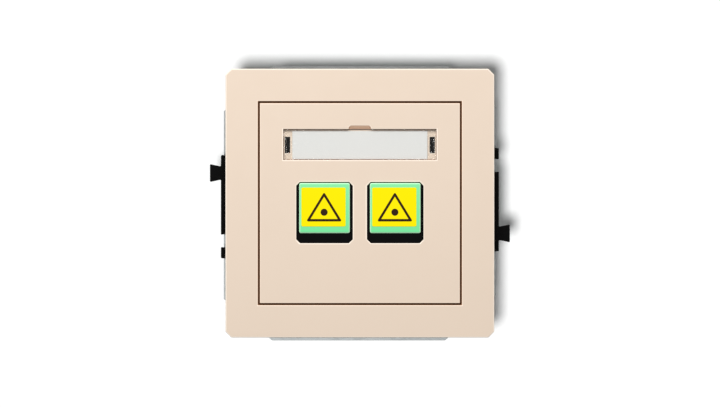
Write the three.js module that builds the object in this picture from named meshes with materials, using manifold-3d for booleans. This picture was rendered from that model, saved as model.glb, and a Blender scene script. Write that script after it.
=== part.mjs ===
// A flush-mounted double fibre-optic wall outlet, built as an assembly of separate solids.
//
// Units are millimetres. X points right, Y points into the wall and Z points up. The origin is the
// centre of the support frame's rear face, which lies against the wall, so the outlet faces -Y.
// The two claws and the two joiner rails are alike, turned half a turn about Y.

import * as THREE from 'three';
import { mergeVertices } from 'three/addons/utils/BufferGeometryUtils.js';
import Module from 'manifold-3d';

const wasm = await Module();
wasm.setup();

// ---------------------------------------------------------------- driving dimensions

const smallSides = 16; // sides of a small round
const largeSides = 24; // sides of a large round
const past = 1.0; // how far a cutting tool runs past the face that it cuts

// Outer cover: a square ring with a skirt round its rim and a collar round its opening. A step
// inside the opening closes most of the gap round the centre plate.
const ring = { size: 68.4, opening: 51.8, chamfer: 1.5, front: -9.0, thickness: 2.0, rear: -4.0 };
const ringWall = { skirt: 1.4, collar: 1.1 };
const ringStep = { opening: 51.1, front: -8.2, rear: -7.2 };

// Posts behind the ring that press into the support frame.
const post = { x: 29.0, z: 19.5, width: 1.6, height: 3.4, end: -0.2, clearance: 0.3 };

// Centre plate, flush with the ring, with legs that snap into the port carrier.
const plate = { size: 51.0, thickness: 1.8, skirt: 1.2, skirtRear: -5.0 };
const snapLeg = { x: 12.0, z: 23.6, width: 4.0, thickness: 1.2, end: -1.6, clearance: 0.3 };

// Label field in the centre plate: a recess, a card in it and a clear window over the card.
const label = { z: 14.9, width: 39.0, height: 7.8, floor: -7.5, floorRear: -6.3, wall: 1.2 };
const notch = { width: 5.5, height: 1.1, chamfer: 0.6, rear: -8.1 };
const card = { width: 34.4, height: 7.1, z: 14.8, front: -7.8, rear: -7.55 };
const cardWindow = { width: 38.7, height: 7.5, front: -8.9, rear: -7.9 };
const hook = { x: 17.9, z: 14.8, thickness: 0.75, barb: 0.35, barbFront: -6.1, height: 3.8, end: -5.2 };
const hookSlot = { x: 18.42, width: 1.35, height: 4.15 };

// Two keystone places side by side.
const port = { pitch: 18.0, z: -2.4, width: 14.4, height: 15.6, chamfer: 1.0 };

// Black carrier that holds the keystone modules and screws to the support frame.
const carrier = { width: 44.8, height: 50.0, front: -3.3, rear: -1.3, wall: 1.6, rib: 0.9 };
const carrierBox = { halfWidth: 19.2, top: 9.0, bottom: -13.2, front: -5.8, wallRear: -3.8, rear: 5.0 };
const carrierWindow = { width: 14.9, height: 16.6 };
const carrierScrew = { x: 19.3, z: 22.4, head: 4.4, headFront: -4.8, shank: 2.3, end: 1.5 };
const screwHole = { carrier: 2.9, frame: 2.7, claw: 3.5 };

// Steel support frame with its window, box-screw slots and bent ears.
const steel = { width: 69.6, height: 70.2, front: -1.0 };
const smallCorner = { x: 12.3, z: 10.6 };
const largeCorner = { x: 13.0, z: 11.6 };
const steelWindow = { size: 40.0, radius: 2.5, lip: 24.0, lipDepth: 2.2, lipThickness: 1.0 };
const boxScrewSlot = { offset: 30.0, width: 4.6, length: 9.0 };

// Joiner rail: a strip with a dovetail tab and a dovetail socket, pegged to the support frame.
const rail = { outer: 35.5, inner: 31.2, front: -3.5, rear: -1.3, top: 12.3, bottom: -14.1, relief: 4.2 };
const railTab = { z: 7.7, neck: 3.4, head: 4.6, reach: 2.8 };
const railSocket = { z: -9.625, mouth: 3.05, inside: 4.2, depth: 2.9 };
const peg = { x: -32.8, upperZ: 10.6, lowerZ: -13.1, diameter: 1.6, hole: 2.0, end: -0.05 };

// Claw that swings out behind the frame when its screw is turned.
const claw = { pivotX: -22.4, pivotY: 2.2, z: 12.0, barrel: 3.0, bore: 1.7, halfHeight: 4.0 };
const clawArm = { length: 15.3, thickness: 1.2, windowFront: 7.0, windowRear: 12.5, windowHalf: 2.0 };
const clawLug = { front: 5.3, rear: 6.5, reach: 7.1, half: 3.2 };
const clawLugSlot = { outer: 5.9, inner: 0.7, half: 1.8 };
const clawTail = { reach: 4.2, tooth: 1.0, teeth: 4 };
const clawPin = { diameter: 1.4, halfLength: 5.1 };
const clawEar = { near: 4.3, far: 5.3, halfWidth: 1.5, reach: 4.0 };
const clawScrew = { x: -26.5, head: 5.5, headFront: -3.1, headRear: -1.3, shank: 3.0, end: 12.0 };
const driverSlot = { width: 0.8, depth: 0.8 };

// Keystone module body. Its collar stands in the centre plate and its shoulder in the carrier.
const collar = { width: 14.1, height: 15.3, front: -8.9, chamfer: 0.9 };
const shoulder = { width: 14.5, height: 16.2, front: -6.9, rear: 3.3 };
const pocket = { width: 13.2, bottom: -5.35, rear: -7.7, reliefBottom: 4.9, reliefRear: -6.9 };
const socket = { width: 7.6, height: 9.2, wallRear: -6.4, keyHalf: 1.6, keyDepth: 0.6 };
const channel = { width: 9.5, height: 13.4 };
const lip = { front: -3.7, rear: -2.2, width: 10.0, bottom: -8.95 };
const tongue = { width: 7.0, bottom: 8.5, top: 9.1, hookTop: 9.5, rootFront: 2.3 };

// Spring-loaded dust flap, its hinge pin and its spring. Heights are from the port's centre.
const flap = { width: 12.9, top: 7.55, bottom: -5.25, front: -9.4, rear: -8.1, bevel: 0.3, chamfer: 0.3 };
const hinge = { y: -8.25, z: 6.2, barrel: 2.3, barrelWidth: 12.0, bore: 0.95, pin: 0.8, pinLength: 14.0 };
const spring = { radius: 0.6, wire: 0.2, turns: 5, pitch: 0.28, start: 4.5, pocket: 1.7, pocketStart: 4.3 };
const sticker = { width: 11.25, height: 9.9, x: -0.25, z: 1.42, radius: 0.3, front: -9.52, rear: -9.42 };

// Adapter inside the module: two equal shells and two equal latch clips, back to back at its middle.
const adapterMiddle = 5.35;
const shell = { width: 9.3, height: 13.2, front: -6.3, rear: 5.3, cavityWidth: 7.5, cavityHeight: 9.1 };
const shellFlange = { width: 11.6, height: 14.8, front: 3.4 };
const shellKey = { depth: 0.55, half: 1.6, rear: 3.0 };
const clipSeat = { width: 8.3, height: 11.0, front: 4.1 };
const clip = { width: 8.1, height: 10.8, front: 4.15, rear: 5.25, tube: 4.6, bore: 3.4, tubeFront: -1.0 };
const clipLip = { bore: 2.7, rear: -0.5 };
const clipArm = { near: 2.9, far: 3.7, width: 3.2, front: -2.6, hookNear: 2.35, hookRear: -1.5 };
const sleeve = { outer: 3.2, inner: 2.5, length: 11.4, slit: 0.4 };
const capPlug = { width: 7.2, height: 8.8, wall: 1.0, front: 13.6, rear: 17.3 };
const capFlange = { width: 9.2, height: 11.0, rear: 18.5 };
const capGrip = { width: 2.2, height: 7.0, rear: 22.0 };

// ---------------------------------------------------------------- materials

function plastic(color, roughness) {
  return new THREE.MeshStandardMaterial({ color, roughness, metalness: 0.0 });
}

function metal(color, roughness) {
  return new THREE.MeshStandardMaterial({ color, roughness, metalness: 1.0 });
}

const beigePlastic = plastic(0xe9d5c2, 0.4);
const blackPlastic = plastic(0x101010, 0.5);
const greenPlastic = plastic(0x76e59b, 0.35);
const ivoryPlastic = plastic(0xe8e2d0, 0.45);
const clearPlastic = new THREE.MeshStandardMaterial({ color: 0xe8ecea, roughness: 0.1, transparent: true });
clearPlastic.opacity = 0.35;
const whiteCard = plastic(0xf2f0ec, 0.9);
const yellowSticker = plastic(0xfdf205, 0.5);
const ceramic = plastic(0xf5f5f0, 0.2);
const galvanisedSteel = metal(0x9aa4a8, 0.45);
const zincSteel = metal(0xb8bcc0, 0.35);

// ---------------------------------------------------------------- solids

function toSolid(geometry) {
  geometry.deleteAttribute('normal');
  geometry.deleteAttribute('uv');
  const merged = mergeVertices(geometry, 1e-4);
  const vertProperties = new Float32Array(merged.attributes.position.array);
  const triVerts = new Uint32Array(merged.index.array);
  return new wasm.Manifold(new wasm.Mesh({ numProp: 3, vertProperties, triVerts }));
}

function toMesh(name, solid, material) {
  const { vertProperties, triVerts } = solid.getMesh();
  const geometry = new THREE.BufferGeometry();
  geometry.setAttribute('position', new THREE.BufferAttribute(vertProperties, 3));
  geometry.setIndex(new THREE.BufferAttribute(triVerts, 1));
  geometry.computeVertexNormals();
  const mesh = new THREE.Mesh(geometry, material);
  mesh.name = name;
  return mesh;
}

function join(...solids) {
  return solids.reduce((sum, next) => sum.add(next));
}

function cut(solid, ...tools) {
  return tools.reduce((rest, tool) => rest.subtract(tool), solid);
}

// A block between two limits on each axis.
function block([x0, x1], [y0, y1], [z0, z1]) {
  const geometry = new THREE.BoxGeometry(x1 - x0, y1 - y0, z1 - z0);
  geometry.translate((x0 + x1) / 2, (y0 + y1) / 2, (z0 + z1) / 2);
  return toSolid(geometry);
}

// The limits of a width centred on a place.
function about(centre, width) {
  return [centre - width / 2, centre + width / 2];
}

// Axis directions that turn a shape drawn in the XY plane, and extruded along Z, into each plane.
const axisX = new THREE.Vector3(1, 0, 0);
const axisY = new THREE.Vector3(0, 1, 0);
const axisZ = new THREE.Vector3(0, 0, 1);
const frontPlane = new THREE.Matrix4().makeBasis(axisX, axisZ, axisY.clone().negate());
const sidePlane = new THREE.Matrix4().makeBasis(axisY, axisZ, axisX);

// A shape drawn in the front view, X and Z, as a slab between two depths.
function slab(shape, [front, rear], curveSegments = smallSides / 2) {
  const depth = rear - front;
  const geometry = new THREE.ExtrudeGeometry(shape, { depth, bevelEnabled: false, curveSegments });
  geometry.applyMatrix4(frontPlane);
  geometry.translate(0, rear, 0);
  return toSolid(geometry);
}

// A shape drawn in the side view, Y and Z, as a slab between two places on X.
function sideSlab(shape, [left, right]) {
  const depth = right - left;
  const geometry = new THREE.ExtrudeGeometry(shape, { depth, bevelEnabled: false });
  geometry.applyMatrix4(sidePlane);
  geometry.translate(left, 0, 0);
  return toSolid(geometry);
}

// The same slab as in the front view, with its front edges bevelled.
function bevelledSlab(shape, [front, rear], bevel) {
  const geometry = new THREE.ExtrudeGeometry(shape, {
    depth: rear - front,
    bevelThickness: bevel,
    bevelSize: bevel,
    bevelOffset: -bevel,
    bevelSegments: 1,
  });
  geometry.applyMatrix4(frontPlane);
  geometry.translate(0, rear + bevel, 0);
  const behind = block([-ring.size, ring.size], [rear, rear + 3 * bevel], [-ring.size, ring.size]);
  return cut(toSolid(geometry), behind);
}

function polygon(points) {
  return new THREE.Shape(points.map(([a, b]) => new THREE.Vector2(a, b)));
}

function rectangle(width, height, x = 0, z = 0) {
  return chamferedRectangle(width, height, 0, x, z);
}

function chamferedRectangle(width, height, chamfer, x = 0, z = 0) {
  const [left, right] = about(x, width);
  const [bottom, top] = about(z, height);
  const corners = [[left, bottom, 1, 1], [right, bottom, -1, 1], [right, top, -1, -1], [left, top, 1, -1]];
  const points = [];
  for (const [cornerX, cornerZ, inX, inZ] of corners) {
    if (chamfer === 0) {
      points.push([cornerX, cornerZ]);
      continue;
    }
    const alongX = [cornerX + inX * chamfer, cornerZ];
    const alongZ = [cornerX, cornerZ + inZ * chamfer];
    points.push(...(inX === inZ ? [alongZ, alongX] : [alongX, alongZ]));
  }
  return polygon(points);
}

function roundedRectangle(width, height, radius, x = 0, z = 0) {
  const [left, right] = about(x, width);
  const [bottom, top] = about(z, height);
  const shape = new THREE.Shape();
  shape.absarc(left + radius, bottom + radius, radius, Math.PI, 1.5 * Math.PI);
  shape.absarc(right - radius, bottom + radius, radius, 1.5 * Math.PI, 2 * Math.PI);
  shape.absarc(right - radius, top - radius, radius, 0, 0.5 * Math.PI);
  shape.absarc(left + radius, top - radius, radius, 0.5 * Math.PI, Math.PI);
  return shape;
}

// A slot with round ends, lying along X or standing along Z.
function roundEndedSlot(width, length, standing, x, z) {
  const radius = width / 2;
  const reach = length / 2 - radius;
  const turn = standing ? Math.PI / 2 : 0;
  const [reachX, reachZ] = standing ? [0, reach] : [reach, 0];
  const shape = new THREE.Shape();
  shape.absarc(x + reachX, z + reachZ, radius, turn - Math.PI / 2, turn + Math.PI / 2);
  shape.absarc(x - reachX, z - reachZ, radius, turn + Math.PI / 2, turn + 1.5 * Math.PI);
  return shape;
}

// A round bar along one axis, between two places on that axis. The centre gives the other two.
function bar(axis, diameter, [start, end], centre, sides = smallSides) {
  const geometry = new THREE.CylinderGeometry(diameter / 2, diameter / 2, end - start, sides);
  if (axis === 'x') geometry.rotateZ(-Math.PI / 2);
  if (axis === 'z') geometry.rotateX(Math.PI / 2);
  const middle = (start + end) / 2;
  const place = { x: [middle, ...centre], y: [centre[0], middle, centre[1]], z: [...centre, middle] };
  geometry.translate(...place[axis]);
  return toSolid(geometry);
}

const bothSides = [-1, 1];
const fourCorners = [[-1, 1], [1, 1], [1, -1], [-1, -1]];
const portCentres = bothSides.map((side) => side * port.pitch / 2);

// ---------------------------------------------------------------- covers

function outerCoverRing() {
  const depth = [ring.front, ring.rear];
  const slabRear = ring.front + ring.thickness;
  const hollow = [slabRear, ring.rear + past];
  const opening = slab(rectangle(ring.opening, ring.opening), [ring.front - past, ring.rear + past]);
  const skirtInside = ring.size - 2 * ringWall.skirt;
  const collarOutside = ring.opening + 2 * ringWall.collar;
  const inner = slab(rectangle(skirtInside, skirtInside), hollow);
  const collarBlock = slab(rectangle(collarOutside, collarOutside), depth);
  const outline = chamferedRectangle(ring.size, ring.size, ring.chamfer);
  let solid = join(cut(slab(outline, depth), inner), collarBlock);
  for (const [sideX, sideZ] of fourCorners) {
    const x = about(sideX * post.x, post.width);
    const z = about(sideZ * post.z, post.height);
    solid = join(solid, block(x, [slabRear - past / 2, post.end], z));
  }
  const stepOutside = ring.opening + ringWall.collar;
  const step = slab(rectangle(stepOutside, stepOutside), [ringStep.front, ringStep.rear]);
  const stepOpening = slab(rectangle(ringStep.opening, ringStep.opening), [ring.front, ring.rear]);
  return join(cut(solid, opening), cut(step, stepOpening));
}

// A notch over the label field that slopes in towards the field, for prising out the window.
function fingerNotch(recess) {
  const bottom = label.z + label.height / 2;
  const middle = bottom + notch.height / 2;
  const reach = 3 * notch.height;
  const outline = chamferedRectangle(notch.width, reach, notch.chamfer, 0, middle - notch.height);
  const slope = notch.height / (notch.rear - ring.front);
  const top = bottom + notch.height + past * slope;
  const front = ring.front - past;
  const below = bottom - past;
  const ramp = polygon([[front, top], [front, below], [notch.rear, below], [notch.rear, bottom]]);
  return slab(outline, recess).intersect(sideSlab(ramp, about(0, 2 * notch.width)));
}

function centerPlate() {
  const slabRear = ring.front + plate.thickness;
  const through = [ring.front - past, plate.skirtRear];
  const skirtInside = plate.size - 2 * plate.skirt;
  let solid = slab(rectangle(plate.size, plate.size), [ring.front, plate.skirtRear]);
  solid = cut(solid, slab(rectangle(skirtInside, skirtInside), [slabRear, plate.skirtRear + past]));

  const bossWidth = label.width + 2 * label.wall;
  const bossHeight = label.height + 2 * label.wall;
  const bossShape = rectangle(bossWidth, bossHeight, 0, label.z);
  solid = join(solid, slab(bossShape, [slabRear - past / 2, label.floorRear]));
  for (const [sideX, sideZ] of fourCorners) {
    const x = about(sideX * snapLeg.x, snapLeg.width);
    const z = about(sideZ * snapLeg.z, snapLeg.thickness);
    solid = join(solid, block(x, [slabRear - past / 2, snapLeg.end], z));
  }

  const recess = [ring.front - past, label.floor];
  solid = cut(solid, slab(rectangle(label.width, label.height, 0, label.z), recess), fingerNotch(recess));
  for (const side of bothSides) {
    const shape = rectangle(hookSlot.width, hookSlot.height, side * hookSlot.x, hook.z);
    solid = cut(solid, slab(shape, through));
  }
  for (const x of portCentres) {
    const shape = chamferedRectangle(port.width, port.height, port.chamfer, x, port.z);
    solid = cut(solid, slab(shape, through));
  }
  return solid;
}

function labelWindow() {
  const paneShape = rectangle(cardWindow.width, cardWindow.height, 0, label.z);
  let solid = slab(paneShape, [cardWindow.front, cardWindow.rear]);
  for (const side of bothSides) {
    const inner = side * hook.x;
    const outer = side * (hook.x + hook.thickness);
    const tip = side * (hook.x + hook.thickness + hook.barb);
    const z = about(hook.z, hook.height);
    const leg = block([inner, outer].sort((a, b) => a - b), [cardWindow.rear - 0.2, hook.end], z);
    const barb = block([inner, tip].sort((a, b) => a - b), [hook.barbFront, hook.end], z);
    solid = join(solid, leg, barb);
  }
  return solid;
}

function labelCard() {
  return slab(rectangle(card.width, card.height, 0, card.z), [card.front, card.rear]);
}

// ---------------------------------------------------------------- carrier and support frame

function portCarrier() {
  const box = carrierBox;
  const boxHeight = box.top - box.bottom;
  const boxMiddle = (box.top + box.bottom) / 2;
  const flange = slab(rectangle(carrier.width, carrier.height), [carrier.front, carrier.rear]);
  const casing = slab(rectangle(2 * box.halfWidth, boxHeight, 0, boxMiddle), [box.front, box.rear]);
  let solid = join(flange, casing);
  const innerHalf = box.halfWidth - carrier.wall;
  const innerHeight = boxHeight - 2 * carrier.wall;
  for (const side of bothSides) {
    const x = [side * carrier.rib, side * innerHalf].sort((a, b) => a - b);
    const chamber = block(x, [box.wallRear, box.rear + past], about(boxMiddle, innerHeight));
    const window = rectangle(carrierWindow.width, carrierWindow.height, side * port.pitch / 2, port.z);
    solid = cut(solid, chamber, slab(window, [box.front - past, box.wallRear + past]));
  }
  for (const [sideX, sideZ] of fourCorners) {
    const legX = about(sideX * snapLeg.x, snapLeg.width + 2 * snapLeg.clearance);
    const legZ = about(sideZ * snapLeg.z, snapLeg.thickness + 2 * snapLeg.clearance);
    const through = [carrier.front - past, carrier.rear + past];
    const centre = [sideX * carrierScrew.x, sideZ * carrierScrew.z];
    solid = cut(solid, block(legX, through, legZ), bar('y', screwHole.carrier, through, centre));
  }
  return solid;
}

// A screw along Y with a single driver slot across its head.
function slottedScrew({ head, headFront, headRear, shank, end }) {
  const headDisc = bar('y', head, [headFront, headRear], [0, 0], largeSides);
  const shankBar = bar('y', shank, [headRear - past / 2, end], [0, 0]);
  const slotDepth = [headFront - past, headFront + driverSlot.depth];
  const slot = block(about(0, 2 * head), slotDepth, about(0, driverSlot.width));
  return cut(join(headDisc, shankBar), slot);
}

function supportFrame() {
  const depth = [steel.front, 0];
  const through = [steel.front - past, past];
  const halfX = steel.width / 2;
  const halfZ = steel.height / 2;
  const outline = polygon([
    [-halfX + smallCorner.x, -halfZ], [halfX - largeCorner.x, -halfZ],
    [halfX, -halfZ + largeCorner.z], [halfX, halfZ - smallCorner.z],
    [halfX - smallCorner.x, halfZ], [-halfX + largeCorner.x, halfZ],
    [-halfX, halfZ - largeCorner.z], [-halfX, -halfZ + smallCorner.z],
  ]);
  let solid = slab(outline, depth);
  for (const side of bothSides) {
    const lipZ = side * (steelWindow.size + steelWindow.lipThickness) / 2;
    const lipRange = about(lipZ, steelWindow.lipThickness);
    const lipDepth = [steel.front / 2, steelWindow.lipDepth];
    solid = join(solid, block(about(0, steelWindow.lip), lipDepth, lipRange), ...clawEars(side));
  }
  const window = roundedRectangle(steelWindow.size, steelWindow.size, steelWindow.radius);
  solid = cut(solid, slab(window, through, smallSides / 4));

  const { offset, width, length } = boxScrewSlot;
  for (const side of bothSides) {
    const standing = roundEndedSlot(width, length, true, side * offset, 0);
    const lying = roundEndedSlot(width, length, false, 0, side * offset);
    const slots = [standing, lying].map((shape) => slab(shape, through, smallSides / 4));
    const clawScrewHole = bar('y', screwHole.claw, through, [side * -clawScrew.x, side * -claw.z]);
    solid = cut(solid, ...slots, clawScrewHole);
    for (const pegZ of [peg.upperZ, peg.lowerZ]) {
      solid = cut(solid, bar('y', peg.hole, through, [side * -peg.x, side * -pegZ]));
    }
  }
  for (const [sideX, sideZ] of fourCorners) {
    const postX = about(sideX * post.x, post.width + 2 * post.clearance);
    const postZ = about(sideZ * post.z, post.height + 2 * post.clearance);
    const centre = [sideX * carrierScrew.x, sideZ * carrierScrew.z];
    solid = cut(solid, block(postX, through, postZ), bar('y', screwHole.frame, through, centre));
  }
  return solid;
}

// The pair of ears that hold one claw's pin. Side -1 is the left claw and side 1 the right one.
function clawEars(side) {
  const pivotX = -side * claw.pivotX;
  const pivotZ = -side * claw.z;
  const ears = [];
  for (const end of bothSides) {
    const z = [pivotZ + end * clawEar.near, pivotZ + end * clawEar.far].sort((a, b) => a - b);
    const ear = block(about(pivotX, 2 * clawEar.halfWidth), [steel.front / 2, clawEar.reach], z);
    const bore = bar('z', claw.bore, [z[0] - past, z[1] + past], [pivotX, claw.pivotY]);
    ears.push(cut(ear, bore));
  }
  return ears;
}

// ---------------------------------------------------------------- joiner rails and claws

// The left rail. Its tab fits the socket of a neighbouring outlet's right rail.
function joinerRail() {
  const depth = [rail.front, rail.rear];
  const tabTip = rail.outer + railTab.reach;
  const socketEnd = rail.outer - railSocket.depth;
  const outline = polygon([
    [-rail.inner, rail.top], [-rail.outer, rail.top],
    [-rail.outer, railTab.z + railTab.neck / 2], [-tabTip, railTab.z + railTab.head / 2],
    [-tabTip, railTab.z - railTab.head / 2], [-rail.outer, railTab.z - railTab.neck / 2],
    [-rail.outer, railSocket.z + railSocket.mouth / 2], [-socketEnd, railSocket.z + railSocket.inside / 2],
    [-socketEnd, railSocket.z - railSocket.inside / 2], [-rail.outer, railSocket.z - railSocket.mouth / 2],
    [-rail.outer, rail.bottom], [-rail.inner, rail.bottom],
  ]);
  const across = [rail.front - past, rail.rear + past];
  const relief = bar('y', 2 * rail.relief, across, [-boxScrewSlot.offset, 0], largeSides);
  const pegDepth = [rail.front / 2, peg.end];
  const pegs = [peg.upperZ, peg.lowerZ].map((z) => bar('y', peg.diameter, pegDepth, [peg.x, z]));
  return join(cut(slab(outline, depth), relief), ...pegs);
}

// The claw about its own pivot, with its tail along +Y and its lug and teeth towards -X.
function clawBody() {
  const height = about(0, 2 * claw.halfHeight);
  const barrel = bar('z', claw.barrel, height, [0, 0]);
  const bore = bar('z', claw.bore, about(0, 4 * claw.halfHeight), [0, 0]);

  const windowDepth = [clawArm.windowFront, clawArm.windowRear];
  const window = block(about(0, 4 * clawArm.thickness), windowDepth, about(0, 2 * clawArm.windowHalf));
  const arm = cut(block(about(0, clawArm.thickness), [0, clawArm.length], height), window);

  const lugBlock = block([-clawLug.reach, 0], [clawLug.front, clawLug.rear], about(0, 2 * clawLug.half));
  const slotX = [-clawLugSlot.outer, -clawLugSlot.inner];
  const slotDepth = [clawLug.front - past, clawLug.rear + past];
  const lug = cut(lugBlock, block(slotX, slotDepth, about(0, 2 * clawLugSlot.half)));
  return cut(join(barrel, arm, lug, clawTeeth()), bore);
}

function clawTeeth() {
  const points = [[0, -claw.halfHeight]];
  const toothHeight = 2 * claw.halfHeight / clawTail.teeth;
  for (let tooth = 0; tooth < clawTail.teeth; tooth += 1) {
    const start = -claw.halfHeight + tooth * toothHeight;
    points.push([-clawTail.reach + clawTail.tooth, start], [-clawTail.reach, start + toothHeight / 2]);
  }
  points.push([-clawTail.reach + clawTail.tooth, claw.halfHeight], [0, claw.halfHeight]);
  return slab(polygon(points), [clawArm.length - clawArm.thickness, clawArm.length]);
}

// One side's rail, claw, claw pin and claw screw. The right side is the left one turned half a turn.
function sideGroup(side) {
  const group = new THREE.Group();
  group.rotation.y = side === 'left' ? 0 : Math.PI;
  const pivot = new THREE.Group();
  pivot.position.set(claw.pivotX, claw.pivotY, claw.z);
  const pinRange = about(0, 2 * clawPin.halfLength);
  pivot.add(toMesh(`${side}_claw`, clawBody(), zincSteel));
  pivot.add(toMesh(`${side}_claw_pin`, bar('z', clawPin.diameter, pinRange, [0, 0]), zincSteel));
  const screw = toMesh(`${side}_claw_screw`, slottedScrew(clawScrew), zincSteel);
  screw.position.set(clawScrew.x, 0, claw.z);
  group.add(toMesh(`${side}_joiner_rail`, joinerRail(), blackPlastic), pivot, screw);
  return group;
}

// ---------------------------------------------------------------- port modules

// The module body about the port's centre, open at the front for the flap and at the rear.
function keystoneBody() {
  const collarShape = chamferedRectangle(collar.width, collar.height, collar.chamfer);
  const collarSlab = slab(collarShape, [collar.front, shoulder.front + past / 2]);
  const shoulderSlab = slab(rectangle(shoulder.width, shoulder.height), [shoulder.front, shoulder.rear]);
  const lipZ = [lip.bottom, -shoulder.height / 2 + past / 2];
  const lipBlock = block(about(0, lip.width), [lip.front, lip.rear], lipZ);
  const solid = join(collarSlab, shoulderSlab, lipBlock, latchTongue());

  const aboveCollar = collar.height / 2 + past;
  const pocketX = about(0, pocket.width);
  const reliefDepth = [pocket.rear - past, pocket.reliefRear];
  const flapPocket = block(pocketX, [collar.front - past, pocket.rear], [pocket.bottom, aboveCollar]);
  const barrelRelief = block(pocketX, reliefDepth, [pocket.reliefBottom, aboveCollar]);
  const socketDepth = [collar.front - past, socket.wallRear + past];
  const socketHole = slab(rectangle(socket.width, socket.height), socketDepth);
  const keyX = [socket.width / 2 - past, socket.width / 2 + socket.keyDepth];
  const keyHole = block(keyX, socketDepth, about(0, 2 * socket.keyHalf));
  const channelDepth = [socket.wallRear, shoulder.rear + past];
  const adapterChannel = slab(rectangle(channel.width, channel.height), channelDepth);
  const pinHole = bar('x', hinge.bore, about(0, 2 * collar.width), [hinge.y, hinge.z]);
  return cut(solid, flapPocket, barrelRelief, socketHole, keyHole, adapterChannel, pinHole);
}

// The springy tongue on top of the module, hooked behind the carrier's front wall.
function latchTongue() {
  const x = about(0, tongue.width);
  const arm = block(x, [lip.front, shoulder.rear], [tongue.bottom, tongue.top]);
  const root = block(x, [tongue.rootFront, shoulder.rear], [shoulder.height / 2 - past / 2, tongue.top]);
  const hookBlock = block(x, [lip.front, lip.rear], [tongue.bottom, tongue.hookTop]);
  return join(arm, root, hookBlock);
}

function portFlap() {
  const height = flap.top - flap.bottom;
  const shape = chamferedRectangle(flap.width, height, flap.chamfer, 0, (flap.top + flap.bottom) / 2);
  const face = bevelledSlab(shape, [flap.front, flap.rear], flap.bevel);
  const barrel = bar('x', hinge.barrel, about(0, hinge.barrelWidth), [hinge.y, hinge.z], largeSides);
  const bore = bar('x', hinge.bore, about(0, 2 * flap.width), [hinge.y, hinge.z]);
  const springPocket = bar('x', spring.pocket, [spring.pocketStart, flap.width], [hinge.y, hinge.z]);
  return cut(join(face, barrel), bore, springPocket);
}

class Helix extends THREE.Curve {
  getPoint(t, target = new THREE.Vector3()) {
    const angle = 2 * Math.PI * spring.turns * t;
    const x = spring.start + spring.pitch * spring.turns * t;
    return target.set(x, spring.radius * Math.cos(angle), spring.radius * Math.sin(angle));
  }
}

// The torsion spring's coil round the hinge pin.
function flapSpring() {
  const wireSides = 6;
  const stepsPerTurn = 10;
  const section = new THREE.Shape();
  section.absarc(0, 0, spring.wire / 2, 0, 2 * Math.PI);
  const geometry = new THREE.ExtrudeGeometry(section, {
    extrudePath: new Helix(),
    steps: spring.turns * stepsPerTurn,
    curveSegments: wireSides / 2,
  });
  geometry.translate(0, hinge.y, hinge.z);
  return toSolid(geometry);
}

function adapterShell() {
  const body = slab(rectangle(shell.width, shell.height), [shell.front, shell.rear]);
  const flange = slab(rectangle(shellFlange.width, shellFlange.height), [shellFlange.front, shell.rear]);
  const through = [shell.front - past, shell.rear + past];
  const cavity = slab(rectangle(shell.cavityWidth, shell.cavityHeight), through);
  const keyX = [shell.cavityWidth / 2 - past, shell.cavityWidth / 2 + shellKey.depth];
  const key = block(keyX, [shell.front - past, shellKey.rear], about(0, 2 * shellKey.half));
  const seat = slab(rectangle(clipSeat.width, clipSeat.height), [clipSeat.front, shell.rear + past]);
  return cut(join(body, flange), cavity, key, seat);
}

// The clip that holds a plug: a base, a tube for the sleeve and two hooked arms.
function latchClip() {
  const base = slab(rectangle(clip.width, clip.height), [clip.front, clip.rear]);
  const tube = bar('y', clip.tube, [clip.tubeFront, clip.rear - past / 2], [0, 0], largeSides);
  const bore = bar('y', clip.bore, [clipLip.rear, clip.rear + past], [0, 0], largeSides);
  const lipBore = bar('y', clipLip.bore, [clip.tubeFront - past, clip.rear], [0, 0], largeSides);
  const arms = bothSides.flatMap((side) => {
    const x = about(0, clipArm.width);
    const z = [side * clipArm.near, side * clipArm.far].sort((a, b) => a - b);
    const hookZ = [side * clipArm.hookNear, side * clipArm.far].sort((a, b) => a - b);
    const arm = block(x, [clipArm.front, clip.rear - past / 2], z);
    return [arm, block(x, [clipArm.front, clipArm.hookRear], hookZ)];
  });
  return cut(join(base, tube, ...arms), bore, lipBore);
}

// The split ceramic tube that lines up the two ferrules.
function alignmentSleeve() {
  const outerRadius = sleeve.outer / 2;
  const innerRadius = sleeve.inner / 2;
  const halfSlit = sleeve.slit / 2;
  const depth = about(adapterMiddle, sleeve.length);
  const tube = bar('y', sleeve.outer, depth, [0, 0], largeSides);
  const bore = bar('y', sleeve.inner, [depth[0] - past, depth[1] + past], [0, 0], largeSides);
  const slit = block([0, 2 * outerRadius], [depth[0] - past, depth[1] + past], [-halfSlit, halfSlit]);
  return cut(tube, bore, slit, block([0, innerRadius], depth, [-halfSlit, halfSlit]));
}

function rearDustCap() {
  const { width, height, wall, front, rear } = capPlug;
  const plug = slab(rectangle(width, height), [front, rear + past / 2]);
  const hollow = slab(rectangle(width - 2 * wall, height - 2 * wall), [front - past, rear - wall]);
  const flange = slab(rectangle(capFlange.width, capFlange.height), [rear, capFlange.rear]);
  const grip = slab(rectangle(capGrip.width, capGrip.height), [capFlange.rear - past / 2, capGrip.rear]);
  return cut(join(plug, flange, grip), hollow);
}

// A second copy of a piece, turned back to back with the first at the middle of the adapter.
function turnedBack(mesh) {
  mesh.rotation.z = Math.PI;
  mesh.position.y = 2 * adapterMiddle;
  return mesh;
}

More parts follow.
